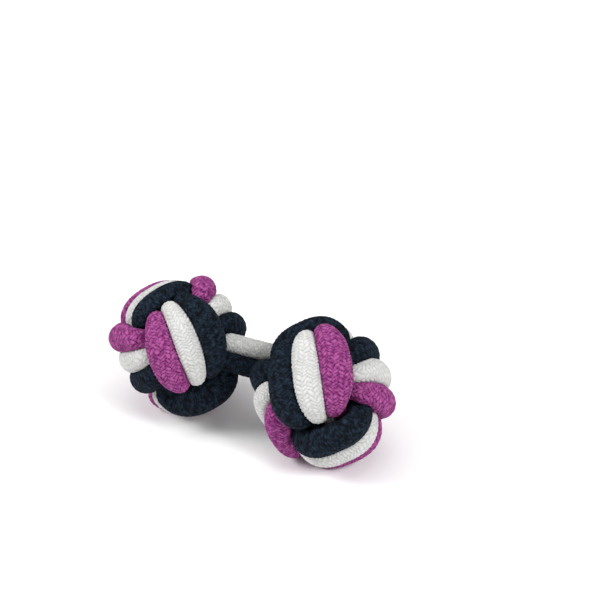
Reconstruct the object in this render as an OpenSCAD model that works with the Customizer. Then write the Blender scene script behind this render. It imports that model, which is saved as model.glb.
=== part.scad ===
// A cufflink of the silk knot kind: two ball knots of braided cord on a short cord shank.
// Each knot is three bands of three cords. The bands run round the knot at right angles to
// each other, and each passes over one band and under the other one.
// The link lies on z = 0. Its length runs along X, and its front is at -Y.

/* [Cord] */
// Width of a cord, before its knot's own size
cord_w = 2; // [1.96:0.01:2]
// How much of the pitch to the next cord of its band a cord fills
cord_fill = 0.94; // [0.88:0.01:0.94]
// Thickness of a cord on the outside of a knot, as a share of cord_w
outer_thick = 0.8; // [0.7:0.02:0.8]
// Thickness of a cord where another band passes over it, as a share of cord_w
tucked_thick = 0.5; // [0.44:0.02:0.5]

/* [Knot] */
// Size of the left knot, whose cords are this share of cord_w
left_size = 0.98; // [0.96:0.01:0.98]
// Size of the right knot in the same way
right_size = 1.02; // [1:0.01:1.02]

/* [Shank] */
// Width of the shank's two cords between the knots
shank_w = 1.5; // [1:0.02:1.5]
// Width of their ends inside the knots
shank_end_w = 0.4; // [0.3:0.02:0.4]
// Free space between the two cords
shank_gap = 0.06; // [0.05:0.01:0.06]

/* [Detail] */
// Sections along one turn of a cord round a knot
ring_steps = 30; // [28:2:34]
// Sections along a cord of the shank
shank_steps = 16; // [12:2:24]
// Sides of a cord
cord_sides = 10; // [8:2:12]

/* [Hidden] */
// Where the dip ends and where the shoulder is, in cord widths from the loop's middle
dip_end = 0.92;
shoulder_at = 1.8;
// Shares of the reach at which a tucked cord begins to come out and a patch has its whole turn
widen_from = 0.57;
turned_from = 0.9;
// Degrees that move the sections so that they are evenly spaced
evening = 8;

// name, place of the middle, turn about X, Y and Z, size
knots = [
    ["left", [-6.69, -0.22, 6.549], [-145.5, 15, -121.5], left_size],
    ["right", [6.41, -0.21, 5.631], [-52.7, -23.1, 30.9], right_size]
];
// How each knot is tied, in cord widths: shoulder of a cord that goes under a band, its dip
// there, pitch of the cords of a band where they are tucked and outside, share by which that
// pitch narrows at a patch's ends, share of the reach that a band's side cords have, power of
// the rounded loop along its reach and towards its shoulders
ties = [
    [1.606, 0.41, 0.57, 0.96, 0.24, 0.99, 3.9, 2.3],
    [1.616, 0.42, 0.55, 1.01, 0.19, 0.93, 3.1, 2.9]
];
// Six patches of cords show on each knot, two of each band.
// name, reach in cord widths, slope across the patch, shift across it in cord widths, fan,
// shift along it in cord widths, share by which the reach grows from one cord to the next
patches = [
    [
        ["back", 2.47, 0.05, -0.13, -0.06, -0.04, 0.04],
        ["front", 2.51, 0.16, 0.3, 0.01, 0.03, -0.12],
        ["right", 2.06, 0.01, -0.24, 0.03, 0.06, 0.01],
        ["left", 2.22, 0.23, -0.23, -0.07, 0, 0.08],
        ["top", 2.56, 0.38, 0.32, 0.15, 0.23, -0.06],
        ["bottom", 2.02, -0.17, 0.06, 0, -0.03, 0.03]
    ],
    [
        ["back", 2.38, 0.04, 0.09, 0.01, -0.14, 0.04],
        ["front", 2.42, 0.19, 0.09, -0.06, 0.18, 0.03],
        ["right", 2.26, 0.13, -0.1, 0.07, 0.04, 0],
        ["left", 2.24, -0.31, 0.01, 0.02, 0.05, 0],
        ["top", 2.38, -0.08, 0.35, 0.12, 0.1, -0.05],
        ["bottom", 2.52, -0.15, -0.05, 0.03, 0.05, 0]
    ]
];
// name, side of the band that its magenta cord is on
bands = [["front", 1], ["side", -1], ["top", 1]];
// name, place in the band towards the magenta side, colour
cords = [
    ["navy", -1, [0.07, 0.09, 0.15]],
    ["white", 0, [0.93, 0.93, 0.92]],
    ["magenta", 1, [0.66, 0.2, 0.55]]
];

// The shank runs from inside the left knot to the side of the right one along a curve with
// these four guide points.
shank_path = [[-2.72, -0.1, 6.73], [-1.62, 0.22, 6.51], [-0.53, 0.58, 6.26], [0.55, 0.99, 6.01]];
// Distances from a knot's middle at which a shank cord begins to widen and is whole
shank_widens = [3.6, 5.6];
// The way from the shank's navy cord to its white one
shank_up = [-0.24, 0.6, 0.76];
// name, side of the shank that the cord is on
shank_cords = [["navy", -1], ["white", 1]];

function smooth(x) = let (c = max(0, min(1, x))) c * c * (3 - 2 * c);
function signed_power(x, e) = sign(x) * pow(abs(x), e);
function unit(v) = v / norm(v);

// A loop's point from its reach u, its height v and its place w across the band
function knot_point(band, u, v, w) = band == 0 ? [w, u, v] : band == 1 ? [u, v, w] : [v, w, u];

// How far a tucked cord has come out at share s of its reach, from 0 to 1
function opening(s) = smooth((abs(s) - widen_from) / (1 - widen_from));

// A rounded loop in the plane of its band, which dips where another band lies over it and
// whose place across the band shifts, slopes and fans out over each patch. Gives its point,
// and the width and thickness of the cord there.
function loop_station(knot, band, place, angle) =
    let (
        tie = ties[knot],
        shoulder = tie[0], dip = tie[1], tucked_pitch = tie[2], outer_pitch = tie[3],
        narrowing = tie[4], side_reach = tie[5], reach_power = tie[6], shoulder_power = tie[7],
        share = signed_power(cos(angle), 2 / reach_power),
        patch = patches[knot][2 * band + (share > 0 ? 0 : 1)],
        reach = patch[1], slope = patch[2], shift = patch[3], fan = patch[4],
        along = patch[5], growth = patch[6],
        open = opening(share),
        turned = smooth(abs(share) / turned_from),
        u = reach * share * (1 + growth * place) * (place == 0 ? 1 : side_reach),
        sunk = dip * (1 - smooth((abs(u) - dip_end) / (shoulder_at - dip_end))),
        v = (shoulder - sunk) * signed_power(sin(angle), 2 / shoulder_power),
        high = v / shoulder,
        pitch = (tucked_pitch + (outer_pitch - tucked_pitch) * open)
            * (1 + open * (fan * high - narrowing * high * high)),
        w = place * pitch * sqrt(1 + pow(slope * turned, 2)) + (slope * v + shift) * turned
    )
    cord_w * [
        knot_point(band, u, v + along * turned, w),
        [cord_fill * pitch, tucked_thick + (outer_thick - tucked_thick) * open]
    ];

// The oval section round point p, with its width along side and the cord running along dir
function oval(p, dir, side, size) =
    let (out = unit(cross(dir, side)), across = unit(cross(out, dir)))
    [for (i = [0 : cord_sides - 1]) let (a = 360 * i / cord_sides)
        p + across * size[0] / 2 * cos(a) + out * size[1] / 2 * sin(a)];

// The faces between two sections, whose points begin at here and at next
function skin(here, next) = [for (j = [0 : cord_sides - 1]) let (k = (j + 1) % cord_sides)
    each [[here + j, next + j, next + k], [here + j, next + k, here + k]]];

// One closed turn of a cord round a knot
module cord_loop(knot, band, place) {
    step = 360 / ring_steps;
    angles = [for (i = [0 : ring_steps - 1]) let (a = (i + 0.5) * step) a - evening * sin(4 * a)];
    side = knot_point(band, 0, 0, 1);
    rings = [for (a = angles)
        let (
            here = loop_station(knot, band, place, a),
            dir = unit(loop_station(knot, band, place, a + 1)[0] - loop_station(knot, band, place, a - 1)[0])
        )
        oval(here[0], dir, side, here[1])];
    polyhedron(
        points = [for (ring = rings) each ring],
        faces = [for (i = [0 : ring_steps - 1])
            each skin(i * cord_sides, (i + 1) % ring_steps * cord_sides)]
    );
}

// The point at share t of the curve with four guide points g, and the way it runs there
function curve_point(g, t) = let (r = 1 - t)
    r * r * r * g[0] + 3 * r * r * t * g[1] + 3 * r * t * t * g[2] + t * t * t * g[3];
function curve_way(g, t) = let (r = 1 - t)
    unit(r * r * (g[1] - g[0]) + 2 * r * t * (g[2] - g[1]) + t * t * (g[3] - g[2]));

// Width of a shank cord at a point of the shank
function shank_width(p) =
    let (near = min([for (knot = knots) norm(p - knot[1])]))
    shank_end_w + (shank_w - shank_end_w)
        * smooth((near - shank_widens[0]) / (shank_widens[1] - shank_widens[0]));

// One cord of the shank, with its ends inside the knots
module shank_cord(side) {
    rings = [for (i = [0 : shank_steps])
        let (
            t = i / shank_steps,
            p = curve_point(shank_path, t),
            dir = curve_way(shank_path, t),
            up = unit(shank_up - (shank_up * dir) * dir),
            wide = shank_width(p)
        )
        oval(p + up * side * (wide + shank_gap) / 2, dir, up, [wide, wide])];
    last = shank_steps * cord_sides;
    polyhedron(
        points = [for (ring = rings) each ring],
        faces = concat(
            [for (i = [0 : shank_steps - 1]) each skin(i * cord_sides, (i + 1) * cord_sides)],
            [[for (j = [0 : cord_sides - 1]) j]],
            [[for (j = [cord_sides - 1 : -1 : 0]) last + j]]
        )
    );
}

for (knot = [0 : 1], band = [0 : 2], cord = cords)
    translate(knots[knot][1]) rotate(knots[knot][2]) scale(knots[knot][3])
            color(cord[2]) cord_loop(knot, band, cord[1] * bands[band][1]);

for (cord = shank_cords)
    color(cords[cord[1] < 0 ? 0 : 1][2]) shank_cord(cord[1]);
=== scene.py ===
import bpy
import numpy as np
from mathutils import Matrix, Vector


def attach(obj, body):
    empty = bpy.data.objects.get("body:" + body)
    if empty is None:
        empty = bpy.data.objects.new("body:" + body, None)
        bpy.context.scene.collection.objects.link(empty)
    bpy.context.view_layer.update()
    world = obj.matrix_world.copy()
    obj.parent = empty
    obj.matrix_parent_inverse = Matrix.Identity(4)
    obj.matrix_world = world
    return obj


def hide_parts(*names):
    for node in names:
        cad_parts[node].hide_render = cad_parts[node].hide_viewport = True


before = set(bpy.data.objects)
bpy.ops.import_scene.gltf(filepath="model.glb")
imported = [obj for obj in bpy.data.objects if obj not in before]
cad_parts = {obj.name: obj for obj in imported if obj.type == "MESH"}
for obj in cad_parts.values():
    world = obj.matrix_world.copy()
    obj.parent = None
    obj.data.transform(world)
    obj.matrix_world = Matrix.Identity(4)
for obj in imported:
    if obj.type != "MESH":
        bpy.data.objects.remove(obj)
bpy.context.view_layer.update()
mm = 0.001

# It looks at the link from the front right and above, and aims past it, as the picture does.
cameraLook = dict(azimuth=26.9, elevation=33, place=(74.9, -139.2, 114.9), focalPx=2404,
                  picturePx=600, sensor=36, nearest=10, farthest=5000)


def addCamera(look):
    # Right, up and back are the camera's own axes. focalPx is how many px of the picture a thing
    # fills per unit of its size over its distance. Lengths are in mm.
    a, e = np.radians(look["azimuth"]), np.radians(look["elevation"])
    right = np.array([np.cos(a), np.sin(a), 0])
    up = np.array([-np.sin(a) * np.sin(e), np.cos(a) * np.sin(e), np.cos(e)])
    data = bpy.data.cameras.new("camera")
    data.sensor_width = look["sensor"]
    data.lens = look["sensor"] * look["focalPx"] / look["picturePx"]
    data.clip_start, data.clip_end = look["nearest"] * mm, look["farthest"] * mm
    camera = bpy.data.objects.new("camera", data)
    bpy.context.collection.objects.link(camera)
    turn = Matrix(np.column_stack([right, up, np.cross(right, up)]).tolist()).to_4x4()
    turn.translation = Vector(look["place"]) * mm
    camera.matrix_world = turn
    bpy.context.scene.camera = camera


addCamera(cameraLook)
print("camera is set")

# The shapes below are in mm. The knots have the same named values as their solids, so each cord
# lies where its solid is. Here the cords are a little wider and thicker, and frontStretch pulls
# the front patches long.
cordWidth = 2.0
cordShape = dict(fill=1.0, thick=0.86, tuckedThick=0.54,
                 dipEnd=0.92, shoulderAt=1.8, widenFrom=0.57, turnedFrom=0.9)
# band: side of its magenta cord, patch where u is above 0, patch where it is below, axes of u, v, w
bands = dict(front=(1, "back", "front", (1, 2, 0)), side=(-1, "right", "left", (0, 1, 2)),
             top=(1, "top", "bottom", (2, 0, 1)))
cordPlaces = dict(navy=-1, white=0, magenta=1)
# Each knot is tied a little differently. A patch is (reach, slope, shift across it, fan, shift
# along it, growth of the reach from cord to cord), in cord widths.
knots = dict(
    left=dict(
        middle=(-6.69, -0.22, 6.549), turn=(-145.5, 15, -121.5), size=0.98,
        shoulder=1.606, dip=0.41, tuckedPitch=0.57, pitch=0.96, narrowing=0.24,
        sideReach=0.99, reachPower=3.9, shoulderPower=2.3, frontStretch=1.06,
        back=(2.47, 0.05, -0.13, -0.06, -0.04, 0.04), front=(2.51, 0.16, 0.3, 0.01, 0.03, -0.12),
        right=(2.06, 0.01, -0.24, 0.03, 0.06, 0.01), left=(2.22, 0.23, -0.23, -0.07, 0, 0.08),
        top=(2.56, 0.38, 0.32, 0.15, 0.23, -0.06), bottom=(2.02, -0.17, 0.06, 0, -0.03, 0.03)),
    right=dict(
        middle=(6.41, -0.21, 5.631), turn=(-52.7, -23.1, 30.9), size=1.02,
        shoulder=1.616, dip=0.42, tuckedPitch=0.55, pitch=1.01, narrowing=0.19,
        sideReach=0.93, reachPower=3.1, shoulderPower=2.9, frontStretch=1.1,
        back=(2.38, 0.04, 0.09, 0.01, -0.14, 0.04), front=(2.42, 0.19, 0.09, -0.06, 0.18, 0.03),
        right=(2.26, 0.13, -0.1, 0.07, 0.04, 0), left=(2.24, -0.31, 0.01, 0.02, 0.05, 0),
        top=(2.38, -0.08, 0.35, 0.12, 0.1, -0.05), bottom=(2.52, -0.15, -0.05, 0.03, 0.05, 0)))
# The braid that covers every cord: columns of slanted strokes that lean to and fro. Pitch, relief
# and thinRadius are in mm, slant, offset and waver in strokes, and drift in columns. sunk is the
# share of the relief that lies under the cord's own surface, crown is how much lower a stroke is
# at its column's edges, and under thinRadius the relief shrinks with the cord.
braid = dict(columns=12, pitch=0.27, slant=0.75, offset=0.5, relief=0.085, sunk=0.6,
             waver=0.5, drift=1.0, ridgePower=0.8, crown=0.55, crownWidth=0.9, crownPower=0.5,
             thinRadius=0.7)
# Slow waves that move the columns and the strokes: number along the cord, number round it,
# height, and how far the seed shifts them
driftWaves = ((2, 0, 1.0, 1.0), (5, 0, 0.5, 2.3))
waverWaves = ((9, 1, 0.5, 1.0), (17, -2, 0.35, 3.1), (31, 3, 0.25, 1.7))


def smooth(x):
    # 0 below 0, 1 above 1, and 3x^2 - 2x^3 between them
    c = np.clip(x, 0, 1)
    return c * c * (3 - 2 * c)


def signedPower(x, e):
    # the sign of x times |x| to the power e
    return np.sign(x) * np.abs(x) ** e


def unit(v):
    # each row divided by its length
    return v / np.linalg.norm(v, axis=-1, keepdims=True)


def turnMatrix(degrees):
    # turns about X, then Y, then Z
    x, y, z = np.radians(degrees)
    rx = np.array([[1, 0, 0], [0, np.cos(x), -np.sin(x)], [0, np.sin(x), np.cos(x)]])
    ry = np.array([[np.cos(y), 0, np.sin(y)], [0, 1, 0], [-np.sin(y), 0, np.cos(y)]])
    rz = np.array([[np.cos(z), -np.sin(z), 0], [np.sin(z), np.cos(z), 0], [0, 0, 1]])
    return rz @ ry @ rx


def loopPoints(knot, band, place, angle):
    # A rounded loop in its band's plane: u = reach * share and v = shoulder * high, each share a
    # power of cos or sin of the angle. v dips where another band lies over the cord and stretches
    # over the front patch, whose soft cords are pulled long. w, the place across the band,
    # spreads, narrows, slopes and fans out over each patch.
    above, below, axes = bands[band][1:]
    share = signedPower(np.cos(angle), 2 / knot["reachPower"])
    reach, slope, shift, fan, along, growth = (
        np.where(share > 0, knot[above][i], knot[below][i]) for i in range(6))
    u = reach * share * (1 + growth * place) * (1 if place == 0 else knot["sideReach"])
    c = cordShape
    sunk = knot["dip"] * (1 - smooth((np.abs(u) - c["dipEnd"]) / (c["shoulderAt"] - c["dipEnd"])))
    v = (knot["shoulder"] - sunk) * signedPower(np.sin(angle), 2 / knot["shoulderPower"])
    wide = smooth((np.abs(share) - c["widenFrom"]) / (1 - c["widenFrom"]))
    turned = smooth(np.abs(share) / c["turnedFrom"])
    if band == "front":
        v = v * (1 + (knot["frontStretch"] - 1) * smooth(share / -c["turnedFrom"]))
    rise = v / knot["shoulder"]
    pitch = knot["tuckedPitch"] + (knot["pitch"] - knot["tuckedPitch"]) * wide
    pitch = pitch * (1 + wide * (fan * rise - knot["narrowing"] * rise ** 2))
    w = place * pitch * np.hypot(1, slope * turned) + (slope * v + shift) * turned
    points = np.empty((len(angle), 3))
    points[:, axes[0]], points[:, axes[1]], points[:, axes[2]] = u, v + along * turned, w
    thick = c["tuckedThick"] + (c["thick"] - c["tuckedThick"]) * wide
    size = np.stack([c["fill"] * pitch, thick], 1)
    return points * cordWidth * knot["size"], size * cordWidth * knot["size"]


def evenly(points, extra, count, closed):
    # Places count stations at equal lengths along a line of many points. Gives their points,
    # what extra is there, and the line's length.
    line = np.vstack([points, points[:1]]) if closed else points
    extra = np.vstack([extra, extra[:1]]) if closed else extra
    run = np.concatenate([[0], np.cumsum(np.linalg.norm(np.diff(line, axis=0), axis=1))])
    at = np.linspace(0, run[-1], count + 1)[:-1] if closed else np.linspace(0, run[-1], count)

    def pick(values):
        return np.stack([np.interp(at, run, column) for column in values.T], 1)

    return pick(line), pick(extra), run[-1]


def braidRelief(column, along):
    # Height of the yarn over the cord's base. Each column holds strokes, one to a pitch, that
    # lean forward in even columns and back in odd ones, where they start half a pitch later; a
    # stroke is a rounded ridge, highest in the middle of its column.
    across = column - np.floor(column) - 0.5
    odd = np.floor(column) % 2
    phase = along + (1 - 2 * odd) * across * braid["slant"] + odd * braid["offset"]
    ridge = np.abs(np.sin(np.pi * phase)) ** braid["ridgePower"]
    middle = np.cos(np.pi * across * braid["crownWidth"]) ** braid["crownPower"]
    return ridge * (1 - braid["crown"] + braid["crown"] * middle)


def frames(points, side, closed):
    # unit vectors along, across and out of a cord at each station; out is square to both others
    ahead = np.roll(points, -1, 0) - np.roll(points, 1, 0) if closed else np.gradient(points, axis=0)
    along = unit(ahead)
    out = unit(np.cross(along, side))
    return along, unit(np.cross(out, along)), out


def ovalRadius(size, turn):
    # distance from an oval's middle to its rim at an angle: a*b / sqrt((b cos)^2 + (a sin)^2)
    a, b = size[:, :1] / 2, size[:, 1:] / 2
    return a * b / np.hypot(b * np.cos(turn), a * np.sin(turn))


def slowWaves(waves, along, around, seed):
    # a sum of sines that close with the cord, both along it and round it
    a, c = 2 * np.pi * along, 2 * np.pi * around
    return sum(height * np.sin(n * a + m * c + shift * seed) for n, m, height, shift in waves)


def braidMap(rows, steps, pitches, closed, seed):
    # Column and pitch at each corner of the skin's grid, one more each way than its points. The
    # columns drift round the cord, and the strokes waver.
    along = np.arange(rows + 1)[:, None] / (rows if closed else rows - 1)
    around = np.arange(steps + 1)[None] / steps
    drift = braid["drift"] * slowWaves(driftWaves, along, around, seed)
    waver = braid["waver"] * slowWaves(waverWaves, along, around, seed)
    return around * braid["columns"] + drift, along * pitches + waver


def gridFaces(n, m, closed):
    # Four-sided faces between n rows of m points, which close round the cord and, where it is a
    # ring, along it too: the number of each face's points, and of its corners on the braid's map
    rows = n if closed else n - 1
    i, j = np.meshgrid(np.arange(rows), np.arange(m), indexing="ij")
    i2, j2 = (i + 1) % n, (j + 1) % m
    points = np.stack([i * m + j, i * m + j2, i2 * m + j2, i2 * m + j], -1)
    here, ahead = i * (m + 1) + j, (i + 1) * (m + 1) + j
    corners = np.stack([here, here + 1, ahead + 1, ahead], -1)
    return points.ravel(), corners.ravel()


def skinMesh(name, grid, column, pitch, closed):
    # the grid's faces as a mesh with column and pitch as its map, and a flat cap on open ends
    n, m = grid.shape[:2]
    loops, corners = gridFaces(n, m, closed)
    uv = np.stack([column.ravel()[corners], pitch.ravel()[corners]], 1)
    starts = np.arange(0, len(loops), 4)
    if not closed:
        starts = np.concatenate([starts, [len(loops), len(loops) + m]])
        loops = np.concatenate([loops, np.arange(m)[::-1], (n - 1) * m + np.arange(m)])
        uv = np.vstack([uv, np.zeros((2 * m, 2))])
    mesh = bpy.data.meshes.new(name)
    mesh.vertices.add(n * m)
    mesh.vertices.foreach_set("co", (grid.reshape(-1) * mm).astype(np.float32))
    mesh.loops.add(len(loops))
    mesh.loops.foreach_set("vertex_index", loops.astype(np.int32))
    mesh.polygons.add(len(starts))
    mesh.polygons.foreach_set("loop_start", starts.astype(np.int32))
    mesh.polygons.foreach_set("use_smooth", np.ones(len(starts), bool))
    mesh.uv_layers.new(name="braid").uv.foreach_set("vector", uv.ravel().astype(np.float32))
    mesh.update(calc_edges=True)
    mesh.validate()
    return mesh


def braidSkin(name, base, seed, pitches, closed):
    # Moves every point of a base surface along its own normal by the braid's relief, less where
    # the cord is thin. base has a row for each station along the cord and a column for each step
    # round it.
    n, m = base.shape[:2]
    around = np.roll(base, -1, 1) - np.roll(base, 1, 1)
    ahead = np.roll(base, -1, 0) - np.roll(base, 1, 0) if closed else np.gradient(base, axis=0)
    normal = unit(np.cross(around, ahead))
    column, pitch = braidMap(n, m, pitches, closed, seed)
    lift = braid["relief"] * (braidRelief(column[:n, :m], pitch[:n, :m]) - braid["sunk"])
    radius = np.linalg.norm(base - base.mean(1, keepdims=True), axis=2)
    lift = lift * np.minimum(1, radius / braid["thinRadius"])
    mesh = skinMesh(name, base + normal * lift[..., None], column, pitch, closed)
    piece = bpy.data.objects.new(name, mesh)
    bpy.context.collection.objects.link(piece)
    return piece


# Colours of a yarn: its strokes' tone, the tone of the painted shade in the crevices between
# strokes, the tone of its specks, then how strongly that painted crevice shade shows, and sheen, how
# much its fibres catch slanting light.
yarns = dict(
    navy=dict(tone=(0.0028, 0.0042, 0.007), paintedShadeTone=(0.0006, 0.0008, 0.0012),
              speck=(0.0135, 0.025, 0.043), paintedShadeStrength=1.1, sheen=0.005),
    white=dict(tone=(0.55, 0.55, 0.54), paintedShadeTone=(0.28, 0.28, 0.27),
               speck=(0.62, 0.62, 0.61), paintedShadeStrength=0.75, sheen=0.03),
    magenta=dict(tone=(0.205, 0.029, 0.145), paintedShadeTone=(0.045, 0.004, 0.05),
                 speck=(0.40, 0.090, 0.29), paintedShadeStrength=1.2, sheen=0.03),
)
# What all yarns share. Scales are in repeats to a metre, threads to a stroke and bumpDepth in mm.
# patchFrom, patchGain and sharpness shape the painted shade in the crevices.
yarnDetail = dict(
    wanderScale=1500, wanderDetail=1, wander=0.4,
    dyeScale=2600, dyeDetail=3, speckFrom=0.38, speckGain=4.0,
    fibreScale=6000, fibreDetail=2, patchFrom=0.25, patchGain=2.6, sharpness=1.8,
    threads=5, threadHeight=0.12, fibreHeight=0.35, bumpStrength=0.6, bumpDepth=0.05,
    roughness=0.8, specular=0.08, sheenRoughness=0.4)


def node(tree, kind, **values):
    # adds a node and sets its plain properties
    made = tree.nodes.new(kind)
    for key, value in values.items():
        setattr(made, key, value)
    return made


def maths(tree, operation, *inputs):
    # one Math node whose inputs are sockets or numbers
    made = node(tree, "ShaderNodeMath", operation=operation)
    for socket, value in zip(made.inputs, inputs):
        if isinstance(value, (int, float)):
            socket.default_value = value
        else:
            tree.links.new(value, socket)
    return made.outputs[0]


def blendColour(tree, factor, a, b):
    # a where factor is 0 and b where it is 1; a and b are colours or sockets
    mix = node(tree, "ShaderNodeMix", data_type="RGBA")
    tree.links.new(factor, mix.inputs["Factor"])
    for socket, value in ((mix.inputs[6], a), (mix.inputs[7], b)):
        if isinstance(value, tuple):
            socket.default_value = (*value, 1)
        else:
            tree.links.new(value, socket)
    return mix.outputs[2]


def yarnNoise(tree, kind):
    # a noise pattern fixed to the cord, with the scale and detail of its kind
    place = node(tree, "ShaderNodeTexCoord")
    pattern = node(tree, "ShaderNodeTexNoise")
    pattern.inputs["Scale"].default_value = yarnDetail[kind + "Scale"]
    pattern.inputs["Detail"].default_value = yarnDetail[kind + "Detail"]
    tree.links.new(place.outputs["Object"], pattern.inputs["Vector"])
    return pattern.outputs[0]


def yarnStrokes(tree):
    # The stroke's phase and height, from the braid's own map of column and pitch. The phase is
    # pitch + lean * across * slant + odd * offset, which noise moves a little, and the height is
    # |sin(pi * phase)| * (1 - crown * (2 * across)^2), highest in the middle of its column.
    uv = node(tree, "ShaderNodeUVMap", uv_map="braid")
    split = node(tree, "ShaderNodeSeparateXYZ")
    tree.links.new(uv.outputs[0], split.inputs[0])
    column, along = split.outputs[0], split.outputs[1]
    across = maths(tree, "SUBTRACT", maths(tree, "FRACT", column), 0.5)
    odd = maths(tree, "FLOORED_MODULO", maths(tree, "FLOOR", column), 2.0)
    lean = maths(tree, "SUBTRACT", 1.0, maths(tree, "MULTIPLY", odd, 2.0))
    shear = maths(tree, "MULTIPLY", maths(tree, "MULTIPLY", lean, across), braid["slant"])
    offset = maths(tree, "MULTIPLY", odd, braid["offset"])
    stray = maths(tree, "SUBTRACT", yarnNoise(tree, "wander"), 0.5)
    stray = maths(tree, "MULTIPLY", stray, yarnDetail["wander"])
    phase = maths(tree, "ADD", maths(tree, "ADD", along, stray), maths(tree, "ADD", shear, offset))
    ridge = maths(tree, "SINE", maths(tree, "MULTIPLY", phase, float(np.pi)))
    ridge = maths(tree, "ABSOLUTE", ridge)
    edge = maths(tree, "MULTIPLY", maths(tree, "MULTIPLY", across, across), 4.0)
    crown = maths(tree, "SUBTRACT", 1.0, maths(tree, "MULTIPLY", edge, braid["crown"]))
    return phase, maths(tree, "MULTIPLY", ridge, crown)


def gained(tree, value, start, gain):
    # (value - start) * gain, from 0 at start
    return maths(tree, "MULTIPLY", maths(tree, "SUBTRACT", value, start), gain)


def yarnMaterial(name, look):
    # The crevices between strokes are darkened with painted shade, in patches, and noise varies the
    # dye.
    # The bumps are the strokes, fine threads along each of them, and noise for the fibres.
    detail = yarnDetail
    material = bpy.data.materials.new(name)
    material.use_nodes = True
    tree = material.node_tree
    shader = tree.nodes["Principled BSDF"]
    phase, height = yarnStrokes(tree)
    fibre = yarnNoise(tree, "fibre")
    patchy = gained(tree, fibre, detail["patchFrom"], detail["patchGain"] * look["paintedShadeStrength"])
    # painted shade: where the stroke is low, between strokes, the colour is blended towards the dark
    # shade tone, more in noisy patches
    creviceShade = maths(tree, "POWER", maths(tree, "SUBTRACT", 1.0, height), detail["sharpness"])
    creviceShade = maths(tree, "MULTIPLY", creviceShade, patchy)
    creviceShade.node.use_clamp = True
    speckle = gained(tree, yarnNoise(tree, "dye"), detail["speckFrom"], detail["speckGain"])
    speckle.node.use_clamp = True
    base = blendColour(tree, speckle, look["tone"], look["speck"])
    # the speckled base colour with the painted crevice shade blended over it
    tree.links.new(blendColour(tree, creviceShade, base, look["paintedShadeTone"]), shader.inputs["Base Color"])
    turns = float(2 * np.pi * detail["threads"])
    threads = maths(tree, "SINE", maths(tree, "MULTIPLY", phase, turns))
    threads = maths(tree, "MULTIPLY", threads, detail["threadHeight"])
    fibres = maths(tree, "MULTIPLY", fibre, detail["fibreHeight"])
    relief = maths(tree, "ADD", threads, maths(tree, "ADD", height, fibres))
    bump = node(tree, "ShaderNodeBump")
    bump.inputs["Strength"].default_value = detail["bumpStrength"]
    bump.inputs["Distance"].default_value = detail["bumpDepth"] * mm
    tree.links.new(relief, bump.inputs["Height"])
    tree.links.new(bump.outputs[0], shader.inputs["Normal"])
    shader.inputs["Roughness"].default_value = detail["roughness"]
    shader.inputs["Specular IOR Level"].default_value = detail["specular"]
    shader.inputs["Sheen Weight"].default_value = look["sheen"]
    shader.inputs["Sheen Roughness"].default_value = detail["sheenRoughness"]
    return material


materials = {colour: yarnMaterial(colour + "Yarn", look) for colour, look in yarns.items()}
print("materials are made")

# Soft cords fill the space between them: each swells until it meets its neighbours, less clear, or
# its limit. outward, sideways and inward are limits and least is the start, in shares of the
# cord's own oval. blur smooths the result, and seedStep gives each cord a braid of its own.
knotFill = dict(stations=150, steps=24, rounds=8, outward=1.0, sideways=1.22, inward=2.8,
                outwardPower=0.7, inwardPower=2, least=0.3, clear=0.012, blur=0.16)
knotDetail = dict(stations=480, around=48, samples=1600, seedStep=2.0)


def swellLimit(turn):
    # the sideways limit, led over to the outward or inward one by a power of how far the ray
    # faces out of the knot or into it
    facing = np.sin(turn)
    side = knotFill["sideways"]
    outer = (knotFill["outward"] - side) * np.abs(facing) ** knotFill["outwardPower"]
    inner = (knotFill["inward"] - side) * np.abs(facing) ** knotFill["inwardPower"]
    return side + np.where(facing > 0, outer, inner)


def nearestShare(points, centres, across, out, sizes):
    # how near each point comes to any of these cords, in shares of the cord's own oval at the
    # station that is nearest to the point
    line = centres.reshape(-1, 3)
    far = (line ** 2).sum(1)[None] - 2 * points @ line.T
    near = far.reshape(len(points), len(centres), -1).argmin(2)
    share = np.full(len(points), np.inf)
    for k, at in enumerate(near.T):
        gap = points - centres[k][at]
        a = (gap * across[k][at]).sum(1) / (sizes[k][at, 0] / 2)
        b = (gap * out[k][at]).sum(1) / (sizes[k][at, 1] / 2)
        share = np.minimum(share, np.hypot(a, b))
    return share


def fillRadii(centres, across, out, sizes):
    # For each point of each cord, the largest radius along its ray at which the point is nearer,
    # in shares of its own oval, to its own cord than to any other one. Halving finds it, where
    # the cord doesn't reach its limit.
    turn = np.linspace(0, 2 * np.pi, knotFill["steps"], endpoint=False)[None]
    radii = []
    for own in range(len(centres)):
        rest = [k for k in range(len(centres)) if k != own]
        natural = ovalRadius(sizes[own], turn)
        ray = (across[own][:, None] * np.cos(turn)[..., None]
               + out[own][:, None] * np.sin(turn)[..., None])

        def isOwn(radius):
            # whether the point at this radius on each ray belongs to this cord
            points = (centres[own][:, None] + ray * radius[..., None]).reshape(-1, 3)
            share = nearestShare(points, centres[rest], across[rest], out[rest], sizes[rest])
            return radius / natural <= share.reshape(radius.shape)

        limit = natural * swellLimit(turn)
        low, high = natural * knotFill["least"], limit
        for step in range(knotFill["rounds"]):
            middle = (low + high) / 2
            mine = isOwn(middle)
            low, high = np.where(mine, middle, low), np.where(mine, high, middle)
        radii.append(np.where(isOwn(limit), limit, low) - knotFill["clear"])
    return np.array(radii)


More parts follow.
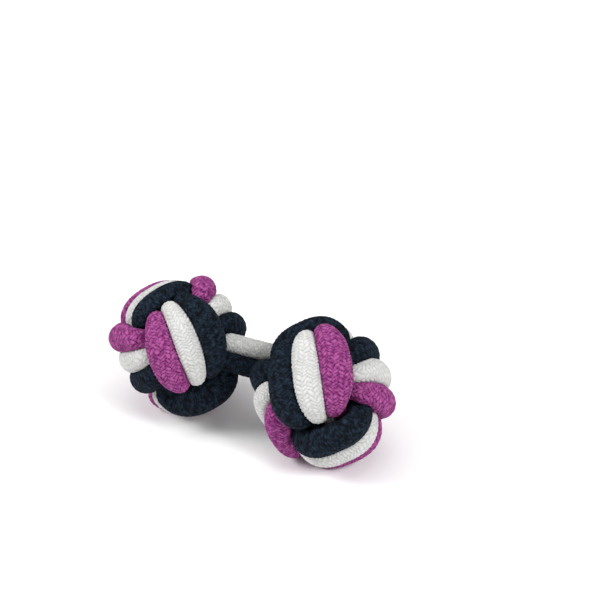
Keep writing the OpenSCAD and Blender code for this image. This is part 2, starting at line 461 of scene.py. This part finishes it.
def finer(grid, rows, columns):
    # Resamples a grid that is periodic both ways, by adding empty waves to its Fourier series;
    # a soft limit on the short waves keeps the creases smooth.
    n, m = grid.shape
    waves = np.fft.fft2(grid)
    soft = np.exp(-(np.fft.fftfreq(n)[:, None] / knotFill["blur"]) ** 2 / 2)
    soft = soft * np.exp(-(np.fft.fftfreq(m)[None] / (2 * knotFill["blur"])) ** 2 / 2)
    waves = np.fft.fftshift(waves * soft)
    full = np.zeros((rows, columns), complex)
    top, side = (rows - n) // 2, (columns - m) // 2
    full[top:top + n, side:side + m] = waves
    return np.fft.ifft2(np.fft.ifftshift(full)).real * rows * columns / n / m


def knotLine(knot, band, colour, stations):
    # one cord's turn round a knot at even stations: points, unit vectors along, across and out,
    # width and thickness, and the turn's length
    angle = np.linspace(0, 2 * np.pi, knotDetail["samples"], endpoint=False)
    magentaSide, axes = bands[band][0], bands[band][3]
    points, size = loopPoints(knot, band, cordPlaces[colour] * magentaSide, angle)
    points, size, length = evenly(points, size, stations, True)
    side = np.zeros(3)
    side[axes[2]] = 1
    return (points, *frames(points, side, True), size, length)


def addKnot(knot):
    # nine closed cords, each one turn of its band's loop
    shape = knots[knot]
    middle, turn = np.array(shape["middle"]), turnMatrix(shape["turn"])
    names = [(band, colour) for band in bands for colour in cordPlaces]
    lines = [knotLine(shape, band, colour, knotFill["stations"]) for band, colour in names]
    centres, across, out, sizes = (np.array([line[i] for line in lines]) for i in (0, 2, 3, 4))
    away = np.sign((out * centres).sum(2, keepdims=True).mean(1, keepdims=True))
    radii = fillRadii(centres, across, out * away, sizes)
    rim = np.linspace(0, 2 * np.pi, knotDetail["around"], endpoint=False)[None, :, None]
    for k, (band, colour) in enumerate(names):
        line = knotLine(shape, band, colour, knotDetail["stations"])
        points, along, across, out, size, length = line
        ray = across[:, None] * np.cos(rim) + out[:, None] * away[k] * np.sin(rim)
        radius = finer(radii[k], knotDetail["stations"], knotDetail["around"])[..., None]
        base = points[:, None] + radius * ray
        if away[k].item() < 0:
            base = base[:, ::-1]  # so that the faces still point outwards
        seed = knotDetail["seedStep"] * k + middle[0]
        piece = braidSkin(f"{knot}{band.title()}{colour.title()}Cord", base @ turn.T + middle,
                          seed, round(length / braid["pitch"]), True)
        piece.data.materials.append(materials[colour])
        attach(piece, "root")
        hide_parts(f"{knot}_{band}_{colour}")
    print(knot, "knot is made")


for knot in knots:
    addKnot(knot)

# The shank's cords lie on either side of a curve with four guide points. start and end are where
# they begin and stop along it, and widens the distances from a knot's middle between which they
# grow from endWidth to width.
shankShape = dict(
    path=((-2.72, -0.1, 6.73), (-1.62, 0.22, 6.51), (-0.53, 0.58, 6.26), (0.55, 0.99, 6.01)),
    start=-0.2, end=1.5, up=(-0.24, 0.6, 0.76), width=1.55, endWidth=0.6, widens=(3.0, 4.6),
    stations=150, around=48)


def addShank(shape):
    # The curve is r^3 g0 + 3 r^2 t g1 + 3 r t^2 g2 + t^3 g3 with r = 1 - t, and runs on past its
    # ends inside the knots. Each cord's middle lies half its width from the curve.
    g = np.array(shape["path"])
    t = np.linspace(shape["start"], shape["end"], shape["stations"])[:, None]
    r = 1 - t
    line = r ** 3 * g[0] + 3 * r * r * t * g[1] + 3 * r * t * t * g[2] + t ** 3 * g[3]
    way = unit(r * r * (g[1] - g[0]) + 2 * r * t * (g[2] - g[1]) + t * t * (g[3] - g[2]))
    up = np.array(shape["up"]) - (way @ np.array(shape["up"]))[:, None] * way
    up = unit(up)
    middles = [np.array(knot["middle"]) for knot in knots.values()]
    near = np.min([np.linalg.norm(line - middle, axis=1) for middle in middles], axis=0)
    low, high = shape["widens"]
    grown = smooth((near - low) / (high - low))
    wide = shape["endWidth"] + (shape["width"] - shape["endWidth"]) * grown
    for colour, side in (("navy", -1), ("white", 1)):
        points = line + up * (side * wide / 2)[:, None]
        size = np.stack([wide, wide], 1)
        points, size, length = evenly(points, size, shape["stations"], False)
        along, across, out = frames(points, up, False)
        rim = np.linspace(0, 2 * np.pi, shape["around"], endpoint=False)[None, :, None]
        ray = across[:, None] * np.cos(rim) + out[:, None] * np.sin(rim)
        base = points[:, None] + size[:, :1, None] / 2 * ray
        pitches = round(length / braid["pitch"])
        piece = braidSkin(f"shank{colour.title()}Cord", base, side, pitches, False)
        piece.data.materials.append(materials[colour])
        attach(piece, "root")
        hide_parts(f"shank_{colour}")
    print("shank is made")


addShank(shankShape)

# A flat pale floor under the link, an even sky, a soft light overhead and one from either side of
# the camera, so only the floor between the knots is dark. floorReach is in mm, and a light is its
# width and place in mm and what it adds to the brightness of a white face turned to it.
stageLook = dict(
    floor=0.97, floorRoughness=0.9, floorReach=120, sky=0.4,
    lights=dict(leftSide=(160, (-251, -176, 257), 0.67), rightSide=(160, (296, -79, 257), 0.67),
                top=(300, (0, 0, 400), 0.32)))


def addLight(name, width, place, strength):
    # a square light that faces the link: energy = strength * pi^2 * distance^2
    data = bpy.data.lights.new(name, "AREA")
    data.size = width * mm
    distance = np.linalg.norm(place) * mm
    data.energy = strength * np.pi ** 2 * distance ** 2
    light = bpy.data.objects.new(name, data)
    light.location = Vector(place) * mm
    light.rotation_euler = (-Vector(place)).to_track_quat("-Z", "Y").to_euler()
    bpy.context.collection.objects.link(light)


def addFloor(look):
    # one square face under the link
    reach = look["floorReach"] * mm
    corners = [(x * reach, y * reach, 0) for x, y in ((-1, -1), (1, -1), (1, 1), (-1, 1))]
    mesh = bpy.data.meshes.new("floor")
    mesh.from_pydata(corners, [], [(0, 1, 2, 3)])
    floor = bpy.data.objects.new("floor", mesh)
    bpy.context.collection.objects.link(floor)
    material = bpy.data.materials.new("paleFloor")
    material.use_nodes = True
    shader = material.node_tree.nodes["Principled BSDF"]
    shader.inputs["Base Color"].default_value = (look["floor"],) * 3 + (1,)
    shader.inputs["Roughness"].default_value = look["floorRoughness"]
    mesh.materials.append(material)


def addSky(look):
    # it lights the link with its own strength, and shows white where a low view meets it
    world = bpy.data.worlds.new("sky")
    bpy.context.scene.world = world
    world.use_nodes = True
    tree = world.node_tree
    sky = tree.nodes["Background"]
    seen = node(tree, "ShaderNodeLightPath").outputs["Is Camera Ray"]
    strength = maths(tree, "MULTIPLY_ADD", seen, 1.0 - look["sky"], look["sky"])
    sky.inputs["Color"].default_value = (1, 1, 1, 1)
    tree.links.new(strength, sky.inputs["Strength"])


def addStage(look):
    # the floor, the sky and every light
    addFloor(look)
    addSky(look)
    for name, values in look["lights"].items():
        addLight(name, *values)
    bpy.context.scene.view_settings.view_transform = "Standard"


addStage(stageLook)
print("stage is set")
